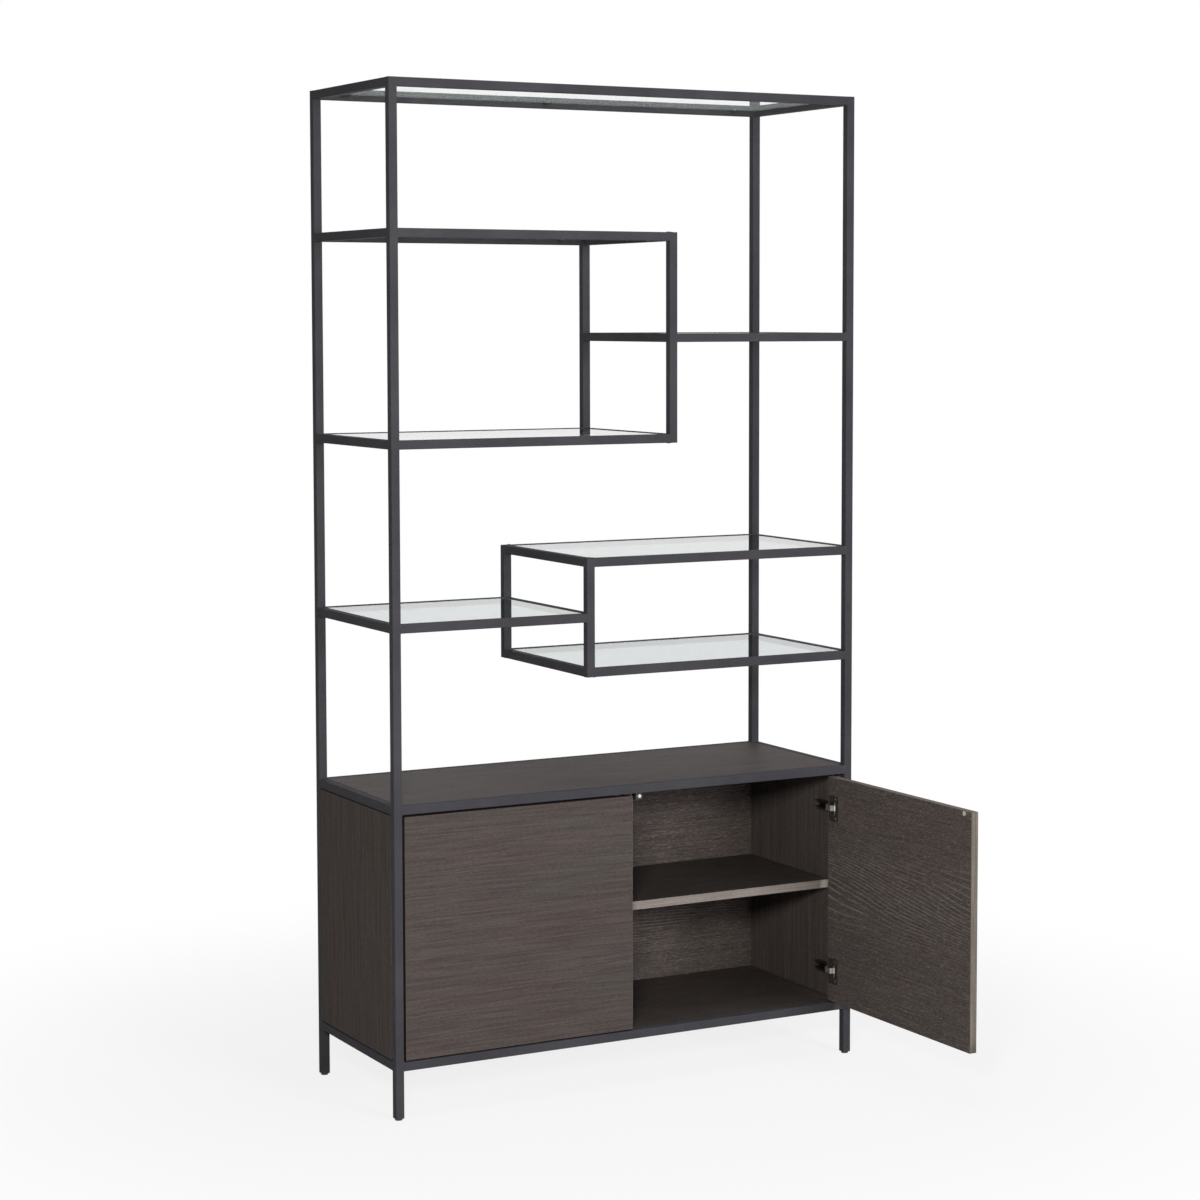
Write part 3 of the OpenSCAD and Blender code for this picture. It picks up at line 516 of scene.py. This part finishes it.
def band_section(front, back):
    """
    The section of a strip, as its points across and in depth. It is a superellipse: the cosine and the sine
    of the turn, each with its size raised to a small power, which makes a rectangle with rounded corners.
    """
    turn = (np.arange(BAND_SIDES) + 0.5) * 2 * np.pi / BAND_SIDES
    wave = np.stack([np.cos(turn), np.sin(turn)], -1)
    power = np.sign(wave) * np.abs(wave) ** SQUARENESS
    return power[:, 0] * BAND_THICK / 2, (front + back) / 2 + power[:, 1] * (back - front) / 2


def lipping(low, high, front, back):
    """
    A strip carried round a board's four edges. The path is the rectangle from low to high in x and z, with
    rounded corners, and the section is a thin rounded rectangle from the board's front to its back.
    """
    angle = (np.arange(BAND_POINTS) + 0.5) * 2 * np.pi / BAND_POINTS
    swell = np.stack([np.cos(angle), np.sin(angle)], -1)
    middle = (np.array(low) + np.array(high)) / 2
    half = (np.array(high) - np.array(low)) / 2 - BAND_CORNER
    corner = np.sign(swell) * half
    across, deep = band_section(front, back)
    out = BAND_CORNER + BAND_PROUD - BAND_THICK / 2 + across
    flat = (middle + corner)[:, None, :] + swell[:, None, :] * out[None, :, None]
    depth = np.broadcast_to(deep[None, :, None], (BAND_POINTS, BAND_SIDES, 1))
    return np.concatenate([flat[..., :1], depth, flat[..., 1:]], -1)


def capped_faces(rows, columns):
    """Quads of a tube of rows whose section has an even number of points, closed by quads at both ends."""
    row, column = np.meshgrid(np.arange(rows - 1), np.arange(columns), indexing="ij")
    beside = (column + 1) % columns
    walls = np.stack([row * columns + column, (row + 1) * columns + column, (row + 1) * columns + beside,
                      row * columns + beside], -1).reshape(-1, 4)
    step = np.arange(columns // 2 - 1)
    cap = np.stack([step, step + 1, columns - 2 - step, columns - 1 - step], -1)
    return np.concatenate([walls, cap, cap[:, ::-1] + (rows - 1) * columns])


def edge_strip(x, front, back, low, high):
    """A strip straight up a board's edge at x, from low to high, with the same section as the lipping."""
    across, deep = band_section(front, back)
    height = np.linspace(low, high, STRIP_ROWS)[:, None, None]
    section = np.broadcast_to(np.stack([x + across, deep], -1), (STRIP_ROWS, BAND_SIDES, 2))
    return np.concatenate([section, np.broadcast_to(height, (STRIP_ROWS, BAND_SIDES, 1))], -1)


def opened(points):
    """The right door's points, turned with the door about the hinge axis."""
    c, s = math.cos(DOOR_OPEN), math.sin(DOOR_OPEN)
    return (points - HINGE_AXIS) @ np.array([[c, s, 0], [-s, c, 0], [0, 0, 1]]) + HINGE_AXIS


closed_right = lipping((-door_high[0], door_low[2]), (-door_low[0], door_high[2]),
                       door_low[1] + BAND_INSET, door_high[1] - BAND_INSET)
ring_faces = grid_faces(BAND_POINTS, BAND_SIDES)
for side, points, faces, edge in (
        ("left", closed_right * (-1, 1, 1), ring_faces[:, ::-1], oak_gap_shade_edge),
        ("right", opened(closed_right), ring_faces, oak_door_edge)):
    strip = surface_object("door_" + side + "_lipping", points * MM, faces, edge, True)
    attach(strip, "door_" + side)

meeting_right = edge_strip(-door_high[0] - BAND_PROUD - BAND_THICK / 2,
                           door_low[1] + STRIP_INSET, door_high[1] - STRIP_INSET,
                           door_low[2] + STRIP_INSET, door_high[2] - STRIP_INSET)
strip_faces = capped_faces(STRIP_ROWS, BAND_SIDES)
for side, points, faces in (("left", meeting_right * (-1, 1, 1), strip_faces[:, ::-1]),
                            ("right", opened(meeting_right), strip_faces)):
    strip = surface_object("door_" + side + "_meeting_edge", points * MM, faces, oak_door_edge, True)
    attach(strip, "door_" + side)

shelf_low, shelf_high = box_mm("cabinet_shelf_right")
shelf_right = lipping(shelf_low[:2], shelf_high[:2], shelf_low[2] + BAND_INSET,
                      shelf_high[2] - BAND_INSET)[..., [0, 2, 1]]
for side, points, faces in (("left", shelf_right * (-1, 1, 1), ring_faces),
                            ("right", shelf_right, ring_faces[:, ::-1])):
    strip = surface_object("shelf_" + side + "_lipping", points * MM, faces, oak_shelf_edge_lit, True)
    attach(strip, "bookcase")


# The hinges: concealed cup hinges of pressed steel, nickel plated, with bright screws. The arm and the
# cup are smooth and cool grey, painted darker than the links as painted shade for the hollows they sit in.
NICKEL, NICKEL_CUP_SHADED = ("#d2cec8", "#a5a29d"), ("#8c8781", "#6b6762")
# The arm's tones: nickel painted dark, as painted shade.
NICKEL_ARM_SHADED = ("#54504c", "#3a3735")
ZINC = ("#b9b8b4", "#77767a")
SCRATCH_SIZE = 0.7


def plated(name, pale, dull, smooth, rough, size):
    """Bright plating: fine scratches across a cloud of slight tarnish."""
    material, tree, output = blank(name)
    place = add(tree, "TexCoord")
    cloud = add(tree, "TexNoise", {"Vector": place.outputs["Object"], "Scale": 1 / (size * MM),
                                   "Detail": 4.0})
    fine = add(tree, "TexNoise", {"Vector": place.outputs["Object"], "Scale": 1 / (SCRATCH_SIZE * MM),
                                  "Detail": 2.0})
    tarnish = add(tree, "MapRange", {"Value": cloud.outputs["Fac"], "From Min": 0.4, "From Max": 0.7})
    tint = add(tree, "Mix", {0: tarnish.outputs[0], 6: colour(pale), 7: colour(dull)}, data_type="RGBA")
    gloss = add(tree, "MapRange", {"Value": cloud.outputs["Fac"], "From Min": 0.3, "From Max": 0.7,
                                   "To Min": smooth, "To Max": rough})
    bump = add(tree, "Bump", {"Height": fine.outputs["Fac"], "Strength": 0.2, "Distance": 0.05 * MM})
    metal = add(tree, "BsdfPrincipled", {"Base Color": tint.outputs[2], "Roughness": gloss.outputs[0],
                                         "Metallic": 1.0, "Normal": bump.outputs[0]})
    tree.links.new(metal.outputs[0], output.inputs["Surface"])
    return material


wear(plated("nickel_plated_steel", *NICKEL, 0.42, 0.58, 9.0), "hinge_links_left", "hinge_links_right")
# The cup is painted darker than the links, as painted shade in its hollow.
wear(plated("nickel_cup_painted_shade", *NICKEL_CUP_SHADED, 0.38, 0.55, 9.0), "hinge_cups_left",
     "hinge_cups_right")
wear(plated("nickel_arm_painted_shade", *NICKEL_ARM_SHADED, 0.35, 0.5, 9.0), "hinge_arms")
wear(plated("zinc_plated_screws", *ZINC, 0.28, 0.45, 4.0), "hinge_screws", "cup_screws_left",
     "cup_screws_right", "back_screws", "latch_screws", "shelf_pins")


# The push latches and the feet: moulded plastic with a fine spark-eroded texture. The latch body is dark
# grey, its plunger and the strike are white, and the glides under the posts are black.
ACETAL_DARK, ACETAL_WHITE = ("#26262a", "#34343a"), ("#e6e4de", "#d8d5cc")
STRIKE_WHITE = ("#d9d5cb", "#c6c1b6")
POLYETHYLENE_BLACK = ("#18181a", "#2a2a2d")
HANDLED_SIZE = 11.0


def moulded(name, base, worn, rough, grain):
    """Plastic from a textured mould: fine pitting, and slight patches where it has been handled."""
    material, tree, output = blank(name)
    place = add(tree, "TexCoord")
    pits = add(tree, "TexVoronoi", {"Vector": place.outputs["Object"], "Scale": 1 / (grain * MM)})
    patch = add(tree, "TexNoise", {"Vector": place.outputs["Object"], "Scale": 1 / (HANDLED_SIZE * MM),
                                   "Detail": 3.0})
    handled = add(tree, "MapRange", {"Value": patch.outputs["Fac"], "From Min": 0.4, "From Max": 0.7})
    tint = add(tree, "Mix", {0: handled.outputs[0], 6: colour(base), 7: colour(worn)}, data_type="RGBA")
    gloss = add(tree, "MapRange", {"Value": patch.outputs["Fac"], "To Min": rough - 0.1,
                                   "To Max": rough + 0.1})
    bump = add(tree, "Bump", {"Height": pits.outputs["Distance"], "Strength": 0.25, "Distance": 0.06 * MM})
    plastic = add(tree, "BsdfPrincipled", {"Base Color": tint.outputs[2], "Roughness": gloss.outputs[0],
                                           "IOR": 1.5, "Normal": bump.outputs[0]})
    tree.links.new(plastic.outputs[0], output.inputs["Surface"])
    return material


wear(moulded("dark_moulded_acetal", *ACETAL_DARK, 0.4, 0.5), "latch_bodies")
wear(moulded("white_moulded_acetal", *ACETAL_WHITE, 0.35, 0.5), "latch_plunger_left",
     "latch_plunger_right")
wear(moulded("white_moulded_strike", *STRIKE_WHITE, 0.4, 0.5), "strike_left", "strike_right")
wear(moulded("black_moulded_polyethylene", *POLYETHYLENE_BLACK, 0.5, 0.7), "foot_glides")
